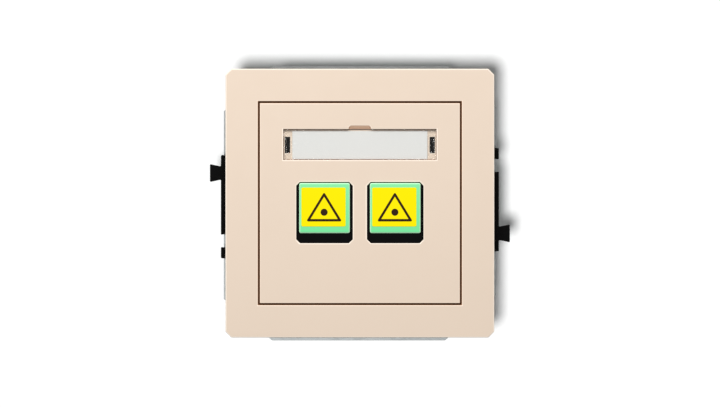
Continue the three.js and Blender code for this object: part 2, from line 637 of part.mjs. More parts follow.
function portGroup(side, x) {
  const group = new THREE.Group();
  group.position.set(x, 0, port.z);
  const { width, height, radius } = sticker;
  const stickerShape = roundedRectangle(width, height, radius, sticker.x, sticker.z);
  const stickerSlab = slab(stickerShape, [sticker.front, sticker.rear], 2);
  const pin = bar('x', hinge.pin, about(0, hinge.pinLength), [hinge.y, hinge.z]);
  group.add(
    toMesh(`${side}_keystone_body`, keystoneBody(), blackPlastic),
    toMesh(`${side}_port_flap`, portFlap(), greenPlastic),
    toMesh(`${side}_flap_label`, stickerSlab, yellowSticker),
    toMesh(`${side}_flap_pin`, pin, zincSteel),
    toMesh(`${side}_flap_spring`, flapSpring(), zincSteel),
    toMesh(`${side}_front_adapter_shell`, adapterShell(), greenPlastic),
    turnedBack(toMesh(`${side}_rear_adapter_shell`, adapterShell(), greenPlastic)),
    toMesh(`${side}_front_latch_clip`, latchClip(), ivoryPlastic),
    turnedBack(toMesh(`${side}_rear_latch_clip`, latchClip(), ivoryPlastic)),
    toMesh(`${side}_alignment_sleeve`, alignmentSleeve(), ceramic),
    toMesh(`${side}_rear_dust_cap`, rearDustCap(), greenPlastic),
  );
  return group;
}

// ---------------------------------------------------------------- assembly

function carrierScrews() {
  const group = new THREE.Group();
  const size = { ...carrierScrew, headRear: carrier.front };
  const names = ['top_left', 'top_right', 'bottom_right', 'bottom_left'];
  fourCorners.forEach(([sideX, sideZ], index) => {
    const screw = toMesh(`carrier_screw_${names[index]}`, slottedScrew(size), zincSteel);
    screw.position.set(sideX * carrierScrew.x, 0, sideZ * carrierScrew.z);
    group.add(screw);
  });
  return group;
}

const outlet = new THREE.Group();
outlet.add(
  toMesh('support_frame', supportFrame(), galvanisedSteel),
  toMesh('port_carrier', portCarrier(), blackPlastic),
  toMesh('outer_cover_ring', outerCoverRing(), beigePlastic),
  toMesh('center_plate', centerPlate(), beigePlastic),
  toMesh('label_card', labelCard(), whiteCard),
  toMesh('label_window', labelWindow(), clearPlastic),
  carrierScrews(),
  sideGroup('left'),
  sideGroup('right'),
  portGroup('left', portCentres[0]),
  portGroup('right', portCentres[1]),
);

export default outlet;
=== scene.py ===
"""The looks of a flush-mounted double fibre-optic wall outlet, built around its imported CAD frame.

Units are metres. X points right, Y points into the wall and Z points up, so the outlet faces -Y.
"""

import math

import bmesh
import bpy
from mathutils import Matrix, Vector


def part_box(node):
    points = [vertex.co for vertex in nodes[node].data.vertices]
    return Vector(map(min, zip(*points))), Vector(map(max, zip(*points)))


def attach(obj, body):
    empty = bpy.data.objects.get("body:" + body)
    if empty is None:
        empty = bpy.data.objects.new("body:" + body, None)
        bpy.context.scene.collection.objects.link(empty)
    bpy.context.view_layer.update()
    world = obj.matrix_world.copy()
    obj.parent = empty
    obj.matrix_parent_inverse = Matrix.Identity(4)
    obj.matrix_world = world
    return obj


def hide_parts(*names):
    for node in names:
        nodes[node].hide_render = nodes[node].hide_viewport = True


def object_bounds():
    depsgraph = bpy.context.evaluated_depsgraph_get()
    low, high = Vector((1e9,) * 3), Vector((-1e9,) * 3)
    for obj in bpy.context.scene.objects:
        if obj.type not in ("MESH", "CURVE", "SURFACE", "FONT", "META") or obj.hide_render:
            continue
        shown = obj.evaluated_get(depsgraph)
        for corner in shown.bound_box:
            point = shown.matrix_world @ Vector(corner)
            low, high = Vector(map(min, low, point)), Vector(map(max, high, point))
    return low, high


MM = 0.001

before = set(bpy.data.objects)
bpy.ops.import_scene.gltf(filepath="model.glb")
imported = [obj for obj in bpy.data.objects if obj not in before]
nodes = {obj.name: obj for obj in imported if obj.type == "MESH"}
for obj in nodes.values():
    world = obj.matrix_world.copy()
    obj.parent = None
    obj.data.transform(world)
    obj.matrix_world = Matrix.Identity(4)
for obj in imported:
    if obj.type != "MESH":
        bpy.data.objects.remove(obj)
cad_low, cad_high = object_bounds()

SIDES = {"left": -1, "right": 1}
COVER_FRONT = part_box("outer_cover_ring")[0].y


# ---------------------------------------------------------------- node trees


def add(tree, kind, inputs=None, **settings):
    """A new shader node. An input that is a socket is linked, and any other is set as a value."""
    node = tree.nodes.new(kind)
    for key, value in settings.items():
        setattr(node, key, value)
    for key, value in (inputs or {}).items():
        if isinstance(value, bpy.types.NodeSocket):
            tree.links.new(value, node.inputs[key])
        else:
            node.inputs[key].default_value = value
    return node


def rgba(color):
    """An opaque colour."""
    return (*color, 1.0)


def shade(color, factor):
    """A colour made darker or lighter, up to white."""
    return tuple(min(1.0, channel * factor) for channel in color)


def principled(name, color, roughness, **sockets):
    """A new material with one Principled shader. Sockets that are the same all over are set here."""
    material = bpy.data.materials.new(name)
    material.use_nodes = True
    shader = material.node_tree.nodes["Principled BSDF"]
    shader.inputs["Base Color"].default_value = rgba(color)
    shader.inputs["Roughness"].default_value = roughness
    for key, value in sockets.items():
        shader.inputs[key.replace("_", " ")].default_value = value
    material.diffuse_color = rgba(color)
    return material, material.node_tree, shader


def place(tree):
    """Places in the piece's own frame, in metres. At rest that is the row frame."""
    return add(tree, "ShaderNodeTexCoord").outputs["Object"]


def noise(tree, scale, detail=2.0, roughness=0.5):
    """Smooth noise through the piece, with this many cells in a metre."""
    inputs = {"Vector": place(tree), "Scale": scale, "Detail": detail, "Roughness": roughness}
    return add(tree, "ShaderNodeTexNoise", inputs).outputs["Fac"]


def blend_colors(tree, factor, first, second):
    """The first colour, which may be a socket, turned to the second as the factor goes from 0 to 1."""
    inputs = {0: factor, 6: first if hasattr(first, "links") else rgba(first), 7: rgba(second)}
    return add(tree, "ShaderNodeMix", inputs, data_type="RGBA").outputs[2]


def spread(tree, value, low, high, source_low=0.3, source_high=0.7):
    """A value that goes from low to high as the source does, and is held there beyond."""
    inputs = {0: value, 1: source_low, 2: source_high, 3: low, 4: high}
    return add(tree, "ShaderNodeMapRange", inputs).outputs[0]


def bump(tree, height, strength, distance):
    """A surface normal from heights."""
    inputs = {"Height": height, "Strength": strength, "Distance": distance}
    return add(tree, "ShaderNodeBump", inputs).outputs["Normal"]


def compute(tree, operation, *values):
    """The result of one step of arithmetic on sockets or numbers."""
    return add(tree, "ShaderNodeMath", dict(enumerate(values)), operation=operation).outputs[0]


def multiply(tree, factors):
    """The product of several factors."""
    product = factors[0]
    for factor in factors[1:]:
        product = compute(tree, "MULTIPLY", product, factor)
    return product


# ---------------------------------------------------------------- materials

# Noise cells in a metre: of the clouds of colour, of the uneven gloss and of the mould's grain.
CLOUD_SCALE = 55.0
GLOSS_SCALE = 210.0
GRAIN_SCALE = 5200.0
GRAIN_DEPTH = 0.012 * MM
GLOSS_CHANGE = 0.04


def moulded_plastic(name, color, roughness, mottle=0.03, grain=0.25, **sockets):
    """Moulded plastic: slight clouds of colour, uneven gloss and the fine grain of an eroded mould."""
    material, tree, shader = principled(name, color, roughness, **sockets)
    clouds = noise(tree, CLOUD_SCALE, 3.0)
    color_mix = blend_colors(tree, clouds, shade(color, 1.0 - mottle), shade(color, 1.0 + mottle))
    tree.links.new(color_mix, shader.inputs["Base Color"])
    gloss = spread(tree, noise(tree, GLOSS_SCALE), roughness - GLOSS_CHANGE, roughness + GLOSS_CHANGE)
    tree.links.new(gloss, shader.inputs["Roughness"])
    normal = bump(tree, noise(tree, GRAIN_SCALE, 2.0, 0.6), grain, GRAIN_DEPTH)
    tree.links.new(normal, shader.inputs["Normal"])
    return material


# The groove between the cover ring and the centre plate follows a square, with half this side.
GROOVE_MIDDLE = 25.7 * MM
# Painted shade in the groove: its colour, half width of the band, and the depths behind the cover's face
# where it starts and is full.
GROOVE_LIP_SHADE = ((0.70, 0.36, 0.17), 0.55 * MM, 0.01 * MM, 0.14 * MM)
GROOVE_INSIDE_SHADE = ((0.09, 0.030, 0.006), 0.3 * MM, 0.1 * MM, 0.24 * MM)
# How dull the band of painted shade inside the groove is made.
GROOVE_DULL_ROUGHNESS = 0.95


def paint_groove_shade(material):
    """Paints shade into the groove round the centre plate: tan at its lips, and dark brown and dull inside,
    where the groove lies in shadow.
    """
    tree = material.node_tree
    shader = tree.nodes["Principled BSDF"]
    axes = add(tree, "ShaderNodeSeparateXYZ", {0: place(tree)})
    sideways = compute(tree, "ABSOLUTE", axes.outputs["X"])
    upward = compute(tree, "ABSOLUTE", axes.outputs["Z"])
    square = compute(tree, "MAXIMUM", sideways, upward)
    distance = compute(tree, "ABSOLUTE", compute(tree, "SUBTRACT", square, GROOVE_MIDDLE))
    color = shader.inputs["Base Color"].links[0].from_socket
    # Painted shade: tan at the lips, dark brown deeper in.
    for shade_tint, reach, start, full in (GROOVE_LIP_SHADE, GROOVE_INSIDE_SHADE):
        near = spread(tree, distance, 1.0, 0.0, 0.85 * reach, reach)
        deep = spread(tree, axes.outputs["Y"], 0.0, 1.0, COVER_FRONT + start, COVER_FRONT + full)
        share = multiply(tree, [near, deep])
        color = blend_colors(tree, share, color, shade_tint)
    tree.links.new(color, shader.inputs["Base Color"])
    roughness = shader.inputs["Roughness"]
    inputs = {0: share, 2: roughness.links[0].from_socket, 3: GROOVE_DULL_ROUGHNESS}
    tree.links.new(add(tree, "ShaderNodeMix", inputs, data_type="FLOAT").outputs[0], roughness)
    return material


# The label recess, and the finger notch above it.
RECESS_HALF_WIDTH = 19.5 * MM
RECESS_HALF_HEIGHT = 3.9 * MM
RECESS_MIDDLE = 14.9 * MM
RECESS_DEPTH = 1.42 * MM  # just short of its floor
NOTCH_TOP = 20.5 * MM
WINDOW_GAP = 0.16 * MM
# Painted shade: the tan of the finger notch and the brown of the gap round the window stand in for the shadow
# in them.
NOTCH_SHADE = (0.68, 0.43, 0.29)
WINDOW_GAP_SHADE = (0.26, 0.13, 0.07)


def paint_recess_shade(material):
    """Paints shade into the recess: the finger notch tan, and the gap round the label window brown."""
    tree = material.node_tree
    shader = tree.nodes["Principled BSDF"]
    axes = add(tree, "ShaderNodeSeparateXYZ", {0: place(tree)})
    height, depth = axes.outputs["Z"], axes.outputs["Y"]
    sideways = compute(tree, "ABSOLUTE", axes.outputs["X"])
    # Painted shade in the finger notch.
    notch = multiply(tree, [
        spread(tree, sideways, 1.0, 0.0, RECESS_HALF_WIDTH, RECESS_HALF_WIDTH + 0.1 * MM),
        spread(tree, height, 0.0, 1.0, RECESS_MIDDLE, RECESS_MIDDLE + 0.1 * MM),
        spread(tree, height, 1.0, 0.0, NOTCH_TOP, NOTCH_TOP + 0.1 * MM),
        spread(tree, depth, 0.0, 1.0, COVER_FRONT, COVER_FRONT + 0.3 * MM),
        spread(tree, depth, 1.0, 0.0, COVER_FRONT + RECESS_DEPTH - 0.12 * MM, COVER_FRONT + RECESS_DEPTH),
    ])
    notch_shaded = blend_colors(tree, notch, shader.inputs["Base Color"].links[0].from_socket, NOTCH_SHADE)
    off_level = compute(tree, "ABSOLUTE", compute(tree, "SUBTRACT", height, RECESS_MIDDLE))
    beside = compute(tree, "SUBTRACT", sideways, RECESS_HALF_WIDTH)
    above = compute(tree, "SUBTRACT", off_level, RECESS_HALF_HEIGHT)
    past_wall = compute(tree, "MAXIMUM", beside, above)
    # Painted shade in the gap round the window.
    gap = multiply(tree, [
        spread(tree, past_wall, 0.0, 1.0, -WINDOW_GAP - 0.03 * MM, -WINDOW_GAP),
        spread(tree, past_wall, 1.0, 0.0, 0.05 * MM, 0.08 * MM),
        spread(tree, depth, 0.0, 1.0, COVER_FRONT + 0.1 * MM, COVER_FRONT + 0.4 * MM),
    ])
    tree.links.new(blend_colors(tree, gap, notch_shaded, WINDOW_GAP_SHADE), shader.inputs["Base Color"])
    return material


def cover_plastic(name, color, roughness, mottle, grain):
    """Plastic of the cover ring and the centre plate, with painted shade in their groove and recess."""
    return paint_recess_shade(paint_groove_shade(moulded_plastic(name, color, roughness, mottle, grain)))


beige = cover_plastic("beige_plastic", (0.70, 0.57, 0.455), 0.58, mottle=0.012, grain=0.2)
# Painted highlight: the cover's rounded edges get a lighter, glossier copy of the beige.
beige_edge_highlight = cover_plastic("beige_edge_highlight", (0.88, 0.76, 0.64), 0.4, mottle=0.01, grain=0.05)
black = moulded_plastic("black_plastic", (0.0025, 0.0025, 0.0025), 0.7, mottle=0.1, grain=0.3,
                        Specular_IOR_Level=0.04)
ivory = moulded_plastic("ivory_plastic", (0.72, 0.67, 0.55), 0.5)


# Painted light: the top of the flap is lighter, and every edge that turns from the front gets a painted
# highlight.
GREEN_BODY = (0.15, 0.69, 0.285)
GREEN_TOP_LIGHT = (0.45, 0.92, 0.5)
GREEN_RIM_HIGHLIGHT = (0.52, 0.95, 0.60)
GREEN_TOP_LIGHT_SHARE = 0.22


def green_plastic():
    """Green connector plastic with painted light: a little lighter towards the top, and a painted highlight
    along every edge.
    """
    material = moulded_plastic("green_plastic", GREEN_BODY, 0.5, mottle=0.02, grain=0.05,
                               Specular_IOR_Level=0.3)
    tree = material.node_tree
    shader = tree.nodes["Principled BSDF"]
    body_color = shader.inputs["Base Color"].links[0].from_socket
    coordinates = add(tree, "ShaderNodeTexCoord")
    height = add(tree, "ShaderNodeSeparateXYZ", {0: coordinates.outputs["Object"]}).outputs["Z"]
    # Painted light towards the top.
    top_light = spread(tree, height, 0.0, GREEN_TOP_LIGHT_SHARE, -8.0 * MM, 5.0 * MM)
    top_lit = blend_colors(tree, top_light, body_color, GREEN_TOP_LIGHT)
    facing = add(tree, "ShaderNodeSeparateXYZ", {0: coordinates.outputs["Normal"]}).outputs["Y"]
    # Painted highlight along the edges that turn away from the front.
    rim_highlight = spread(tree, compute(tree, "ABSOLUTE", facing), 1.0, 0.0, 0.80, 0.95)
    tree.links.new(blend_colors(tree, rim_highlight, top_lit, GREEN_RIM_HIGHLIGHT), shader.inputs["Base Color"])
    return material


green = green_plastic()
green_cap = moulded_plastic("green_adapter_plastic", (0.10, 0.48, 0.20), 0.4, mottle=0.03, grain=0.1)
rubber = moulded_plastic("green_rubber", (0.07, 0.40, 0.17), 0.62, mottle=0.05, grain=0.35)


ROLLING_SCALE = 2600.0
ROLLING_DEPTH = 0.01 * MM


def steel_sheet(name, color, roughness, crystal_scale, contrast):
    """Zinc-coated steel: crystals of slightly different grey and gloss, with fine rolling marks."""
    material, tree, shader = principled(name, color, roughness, Metallic=1.0)
    crystals = add(tree, "ShaderNodeTexVoronoi", {"Vector": place(tree), "Scale": crystal_scale})
    tone = add(tree, "ShaderNodeSeparateColor", {0: crystals.outputs["Color"]}).outputs[0]
    mixed = compute(tree, "MULTIPLY", tone, noise(tree, crystal_scale * 3.0, 3.0))
    dark, light = shade(color, 1.0 - contrast), shade(color, 1.0 + contrast)
    tree.links.new(blend_colors(tree, mixed, dark, light), shader.inputs["Base Color"])
    uneven = 0.35 * contrast
    gloss = spread(tree, tone, roughness - uneven, roughness + uneven, 0.0, 1.0)
    tree.links.new(gloss, shader.inputs["Roughness"])
    normal = bump(tree, noise(tree, ROLLING_SCALE, 3.0), 0.15, ROLLING_DEPTH)
    tree.links.new(normal, shader.inputs["Normal"])
    return material


galvanised = steel_sheet("galvanised_steel", (0.33, 0.35, 0.355), 0.5, 520.0, 0.14)
zinc = steel_sheet("zinc_plated_steel", (0.55, 0.55, 0.52), 0.4, 4200.0, 0.06)
dark_steel = steel_sheet("spring_steel", (0.11, 0.105, 0.10), 0.35, 2200.0, 0.15)


def clear_plastic():
    """Clear polycarbonate. Light goes straight through it to what lies behind."""
    material, tree, shader = principled("clear_plastic", (0.97, 0.975, 0.97), 0.04, IOR=1.49,
                                        Transmission_Weight=1.0)
    open_shader = add(tree, "ShaderNodeBsdfTransparent", {"Color": rgba((0.96, 0.965, 0.96))})
    path = add(tree, "ShaderNodeLightPath")
    lit_through = compute(tree, "MAXIMUM", path.outputs["Is Shadow Ray"], path.outputs["Is Diffuse Ray"])
    inputs = {0: lit_through, 1: shader.outputs[0], 2: open_shader.outputs[0]}
    mixed = add(tree, "ShaderNodeMixShader", inputs)
    tree.links.new(mixed.outputs[0], tree.nodes["Material Output"].inputs["Surface"])
    return material


clear = clear_plastic()


FIBRE_SCALE = 900.0
FIBRE_DEPTH = 0.01 * MM


def paper_card():
    """White card with a faint grain of fibres."""
    material, tree, shader = principled("white_card", (0.77, 0.76, 0.745), 0.9, Specular_IOR_Level=0.2)
    fibres = noise(tree, FIBRE_SCALE, 4.0, 0.7)
    tone = blend_colors(tree, fibres, (0.755, 0.745, 0.73), (0.785, 0.775, 0.76))
    tree.links.new(tone, shader.inputs["Base Color"])
    tree.links.new(bump(tree, fibres, 0.2, FIBRE_DEPTH), shader.inputs["Normal"])
    return material


card = paper_card()
yellow = moulded_plastic("yellow_vinyl", (0.89, 0.745, 0.0005), 0.7, mottle=0.01, grain=0.05,
                         Specular_IOR_Level=0.05)
ink = moulded_plastic("dark_ink", (0.026, 0.010, 0.002), 0.7, mottle=0.05, grain=0.05,
                      Specular_IOR_Level=0.12)
ceramic = moulded_plastic("zirconia", (0.86, 0.85, 0.80), 0.12, mottle=0.01, grain=0.02)


# ---------------------------------------------------------------- edges of the CAD pieces


def smooth_faces():
    """A small modifier group that makes every face smooth."""
    group = bpy.data.node_groups.new("smooth_faces", "GeometryNodeTree")
    group.interface.new_socket("Geometry", in_out="INPUT", socket_type="NodeSocketGeometry")
    group.interface.new_socket("Geometry", in_out="OUTPUT", socket_type="NodeSocketGeometry")
    start = group.nodes.new("NodeGroupInput")
    smooth = group.nodes.new("GeometryNodeSetShadeSmooth")
    end = group.nodes.new("NodeGroupOutput")
    group.links.new(start.outputs[0], smooth.inputs["Geometry"])
    group.links.new(smooth.outputs[0], end.inputs[0])
    return group


SMOOTH = smooth_faces()


SHARP_ANGLE = math.radians(30.0)


def weigh_edges():
    """A modifier group that marks the edges to round: those at the very front in full, others less."""
    group = bpy.data.node_groups.new("weigh_edges", "GeometryNodeTree")
    for name, kind in (("Geometry", "Geometry"), ("Front", "Float"), ("Others", "Float")):
        group.interface.new_socket(name, in_out="INPUT", socket_type=f"NodeSocket{kind}")
    group.interface.new_socket("Geometry", in_out="OUTPUT", socket_type="NodeSocketGeometry")
    start = group.nodes.new("NodeGroupInput")
    end = group.nodes.new("NodeGroupOutput")
    depth = add(group, "ShaderNodeSeparateXYZ", {0: group.nodes.new("GeometryNodeInputPosition").outputs[0]})
    at_front = add(group, "FunctionNodeCompare", {0: depth.outputs["Y"], 1: start.outputs["Front"]},
                   data_type="FLOAT", operation="LESS_THAN")
    angle = group.nodes.new("GeometryNodeInputMeshEdgeAngle")
    sharp = add(group, "FunctionNodeCompare", {0: angle.outputs[0], 1: SHARP_ANGLE},
                data_type="FLOAT", operation="GREATER_THAN")
    share = add(group, "GeometryNodeSwitch",
                {0: at_front.outputs[0], 1: start.outputs["Others"], 2: 1.0}, input_type="FLOAT")
    weight = add(group, "GeometryNodeSwitch", {0: sharp.outputs[0], 1: 0.0, 2: share.outputs[0]},
                 input_type="FLOAT")
    store = group.nodes.new("GeometryNodeStoreNamedAttribute")
    store.data_type = "FLOAT"
    store.domain = "EDGE"
    store.inputs["Name"].default_value = "bevel_weight_edge"
    group.links.new(start.outputs["Geometry"], store.inputs["Geometry"])
    group.links.new(weight.outputs[0], store.inputs["Value"])
    group.links.new(store.outputs[0], end.inputs[0])
    return group


WEIGH = weigh_edges()


def ease(obj, width, segments=3, edge_slot=-1, front=None, others=1.0):
    """Welds a piece's corners and rounds its edges, without touching its mesh.
    Edges further forward than front are rounded in full, and the others by a share of the width."""
    weld = obj.modifiers.new("weld", "WELD")
    weld.merge_threshold = 0.001 * MM
    weigh = obj.modifiers.new("weigh_edges", "NODES")
    weigh.node_group = WEIGH
    sockets = {item.name: item.identifier for item in WEIGH.interface.items_tree if item.in_out == "INPUT"}
    weigh[sockets["Front"]] = 1.0 if front is None else front
    weigh[sockets["Others"]] = others
    round_edges = obj.modifiers.new("round_edges", "BEVEL")
    round_edges.width = width
    round_edges.segments = segments
    round_edges.limit_method = "WEIGHT"
    round_edges.material = edge_slot
    round_edges.use_clamp_overlap = False
    smooth = obj.modifiers.new("smooth_faces", "NODES")
    smooth.node_group = SMOOTH
    normals = obj.modifiers.new("flat_normals", "WEIGHTED_NORMAL")
    normals.keep_sharp = False
    normals.weight = 100


def finish_node(name, material, width, edge=None, **settings):
    """Gives a CAD node its material and softens its edges."""
    obj = nodes[name]
    obj.data.materials.clear()
    obj.data.materials.append(material)
    if edge is not None:
        obj.data.materials.append(edge)
        settings["edge_slot"] = 1
    ease(obj, width, **settings)


# Edges of the cover are rounded in full down to this depth, and the hidden ones behind it by a share.
FRONT_EDGES = COVER_FRONT + 0.6 * MM
REAR_SHARE = 0.35
# The rounded edges of the cover take the lighter beige: a painted highlight.
for name in ("outer_cover_ring", "center_plate"):
    finish_node(name, beige, width=0.28 * MM, edge=beige_edge_highlight, segments=4, front=FRONT_EDGES,
                others=REAR_SHARE)
finish_node("label_card", card, width=0.02 * MM, segments=1)
finish_node("label_window", clear, width=0.22 * MM, front=COVER_FRONT + 0.2 * MM, others=REAR_SHARE)
finish_node("port_carrier", black, width=0.15 * MM)
finish_node("support_frame", galvanised, width=0.12 * MM)
for side in SIDES:
    finish_node(f"{side}_joiner_rail", black, width=0.25 * MM)
    finish_node(f"{side}_claw", zinc, width=0.1 * MM)
    finish_node(f"{side}_keystone_body", black, width=0.12 * MM)
    finish_node(f"{side}_port_flap", green, width=0.1 * MM)
    finish_node(f"{side}_front_adapter_shell", green_cap, width=0.15 * MM)
    finish_node(f"{side}_rear_adapter_shell", green_cap, width=0.15 * MM)
    finish_node(f"{side}_front_latch_clip", ivory, width=0.1 * MM)
    finish_node(f"{side}_rear_latch_clip", ivory, width=0.1 * MM)


# ---------------------------------------------------------------- new pieces


def new_piece(name, bm, materials, body, replaced):
    """A mesh object that rides on a body and stands for a CAD node."""
    mesh = bpy.data.meshes.new(name)
    bm.to_mesh(mesh)
    bm.free()
    for material in materials:
        mesh.materials.append(material)
    obj = bpy.data.objects.new(name, mesh)
    bpy.context.scene.collection.objects.link(obj)
    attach(obj, body)
    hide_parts(replaced)
    return obj


def prism(bm, outline, front, back, material=0, hole=None):
    """A closed plate between two depths, of an outline in X and Z that may have one hole."""
    loops = [outline] + ([hole] if hole else [])
    rings = []
    for loop in loops:
        rings.append([[bm.verts.new((x, y, z)) for x, z in loop] for y in (front, back)])
    faces = []
    for ring in rings:
        count = len(ring[0])
        for i in range(count):
            j = (i + 1) % count
            faces.append(bm.faces.new((ring[0][i], ring[0][j], ring[1][j], ring[1][i])))
    for level in (0, 1):
        if hole is None:
            faces.append(bm.faces.new(rings[0][level]))
            continue
        outer, inner = rings[0][level], rings[1][level]
        for i in range(len(outer)):
            j = (i + 1) % len(outer)
            faces.append(bm.faces.new((outer[i], outer[j], inner[j], inner[i])))
    for face in faces:
        face.material_index = material
    bmesh.ops.recalc_face_normals(bm, faces=faces)
    return faces


def rounded_corners(corners, radius, steps=6):
    """An outline with each corner of a convex polygon, given anticlockwise, turned into an arc."""
    outline = []
    count = len(corners)
    for i, corner in enumerate(corners):
        here = Vector(corner)
        before = (Vector(corners[i - 1]) - here).normalized()
        after = (Vector(corners[(i + 1) % count]) - here).normalized()
        half = before.angle(after) / 2.0
        centre = here + (before + after).normalized() * (radius / math.sin(half))
        first = here + before * (radius / math.tan(half)) - centre
        sweep = math.pi - 2.0 * half
        for step in range(steps + 1):
            turned = Matrix.Rotation(sweep * step / steps, 2) @ first
            outline.append(tuple(centre + turned))
    return outline


def inset_triangle(corners, distance):
    """The triangle a distance inside another."""
    points = [Vector(corner) for corner in corners]
    sides = [(points[1] - points[2]).length, (points[2] - points[0]).length, (points[0] - points[1]).length]
    around = sum(sides)
    centre = sum((point * side for point, side in zip(points, sides)), Vector((0.0, 0.0))) / around
    area = abs((points[1] - points[0]).cross(points[2] - points[0])) / 2.0
    inner_radius = 2.0 * area / around
    return [centre + (point - centre) * (1.0 - distance / inner_radius) for point in points]


AXES = {
    "x": (Vector((1.0, 0.0, 0.0)), Vector((0.0, 1.0, 0.0)), Vector((0.0, 0.0, 1.0))),
    "y": (Vector((0.0, 1.0, 0.0)), Vector((0.0, 0.0, 1.0)), Vector((1.0, 0.0, 0.0))),
    "z": (Vector((0.0, 0.0, 1.0)), Vector((1.0, 0.0, 0.0)), Vector((0.0, 1.0, 0.0))),
}


def skin(bm, sections):
    """A closed surface through a row of sections that have equal numbers of corners."""
    rings = [[bm.verts.new(point) for point in section] for section in sections]
    faces = [bm.faces.new(rings[0]), bm.faces.new(rings[-1])]
    for ring, following in zip(rings, rings[1:]):
        for i in range(len(ring)):
            j = (i + 1) % len(ring)
            faces.append(bm.faces.new((ring[i], ring[j], following[j], following[i])))
    bmesh.ops.recalc_face_normals(bm, faces=faces)


def turned(axis, centre, profile, sides=32):
    """The sections of a turned piece. The profile gives places along the axis and a radius at each,
    which may be a function of the angle in turns."""
    forward, across, up = AXES[axis]
    sections = []
    for place_along, radius in profile:
        section = []
        for step in range(sides):
            turn = step / sides
            reach = radius(turn) if callable(radius) else radius
            outward = across * math.cos(math.tau * turn) + up * math.sin(math.tau * turn)
            section.append(centre + forward * place_along + outward * reach)
        sections.append(section)
    return sections


def crisp(obj, angle=35.0):
    """Smooth shading, except across edges sharper than the angle."""
    obj.data.shade_smooth()
    obj.data.set_sharp_from_angle(angle=math.radians(angle))
    return obj


def middle(node):
    """The middle of a CAD node's box."""
    low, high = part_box(node)
    return (low + high) / 2.0


# Screws

THREAD_PITCH = 0.5 * MM
THREAD_DEPTH = 0.27 * MM
ROWS_PER_PITCH = 8
TIP_CHAMFER = 0.45 * MM
HEAD_EDGE = 0.25 * MM
NECK = 0.1 * MM  # the fillet under the head
THREAD_START = 0.4 * MM  # behind the head
SCREW_SIDES = 24
DRIVER_SLOT_WIDTH = 0.8 * MM
DRIVER_SLOT_DEPTH = 0.8 * MM


def thread(major, start, end, along):
    """The radius round a threaded shank at one place, as a function of the angle in turns."""
    run_in = min(1.0, max(0.0, (along - start) / THREAD_PITCH))
    cone = major - TIP_CHAMFER + (end - along)

    def radius(turn):
        phase = ((along - start) / THREAD_PITCH - turn) % 1.0
        ridge = min(1.0, 1.3 * (1.0 - abs(2.0 * phase - 1.0)))
        return min(cone, major - THREAD_DEPTH * (1.0 - ridge) * run_in)

    return radius


def slotted_screw(node, body, head_height, shank):
    """A slotted cheese-head screw with a real thread, in place of a CAD screw. The shank is a radius."""
    low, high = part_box(node)
    centre = Vector(((low.x + high.x) / 2.0, 0.0, (low.z + high.z) / 2.0))
    head = (high.x - low.x) / 2.0
    head_rear = low.y + head_height
    profile = [
        (low.y, head * 0.1), (low.y, head - HEAD_EDGE), (low.y + 0.3 * HEAD_EDGE, head - 0.3 * HEAD_EDGE),
        (low.y + HEAD_EDGE, head), (head_rear - 0.2 * HEAD_EDGE, head),
        (head_rear, head - 0.2 * HEAD_EDGE), (head_rear, shank + NECK), (head_rear + NECK, shank),
    ]
    start = head_rear + THREAD_START
    rows = round((high.y - start) / THREAD_PITCH * ROWS_PER_PITCH)
    for row in range(rows + 1):
        along = start + (high.y - start) * row / rows
        profile.append((along, thread(shank, start, high.y, along)))
    bm = bmesh.new()
    skin(bm, turned("y", centre, profile, SCREW_SIDES))
    screw = new_piece(f"{node}_threaded", bm, [zinc], body, node)
    slot_low = (centre.x - 2.0 * head, low.y - head, centre.z - DRIVER_SLOT_WIDTH / 2.0)
    slot_high = (centre.x + 2.0 * head, low.y + DRIVER_SLOT_DEPTH, centre.z + DRIVER_SLOT_WIDTH / 2.0)
    carve(screw, slot_low, slot_high)
    return crisp(screw)


def carve(obj, low, high):
    """Cuts a block out of a piece."""
    bm = bmesh.new()
    outline = [(low[0], low[2]), (high[0], low[2]), (high[0], high[2]), (low[0], high[2])]
    prism(bm, outline, low[1], high[1])
    mesh = bpy.data.meshes.new("cutter")
    bm.to_mesh(mesh)
    bm.free()
    cutter = bpy.data.objects.new("cutter", mesh)
    bpy.context.scene.collection.objects.link(cutter)
    cut = obj.modifiers.new("cut", "BOOLEAN")
    cut.object = cutter
    cut.operation = "DIFFERENCE"
    cut.solver = "EXACT"
    shaped = bpy.data.meshes.new_from_object(obj.evaluated_get(bpy.context.evaluated_depsgraph_get()))
    obj.modifiers.clear()
    obj.data = shaped
    bpy.data.objects.remove(cutter)


# Pins, springs and sleeves


def pin(node, axis, material, chamfer):
    """A steel pin with chamfered ends, in place of a CAD pin."""
    low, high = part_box(node)
    index = "xyz".index(axis)
    centre = (low + high) / 2.0
    half = (high[index] - low[index]) / 2.0
    radius = (high[(index + 1) % 3] - low[(index + 1) % 3]) / 2.0
    profile = [(-half, radius - chamfer), (-half + 0.3 * chamfer, radius - 0.3 * chamfer),
               (-half + chamfer, radius)]
    profile += [(-place_along, reach) for place_along, reach in reversed(profile)]
    bm = bmesh.new()
    skin(bm, turned(axis, centre, profile))
    return crisp(new_piece(f"{node}_turned", bm, [material], "outlet_body", node), 50.0)


COIL_WIRE = 0.2 * MM
COIL_RADIUS = 0.6 * MM
COIL_TURNS = 5
COIL_STEPS = 24
WIRE_SIDES = 10


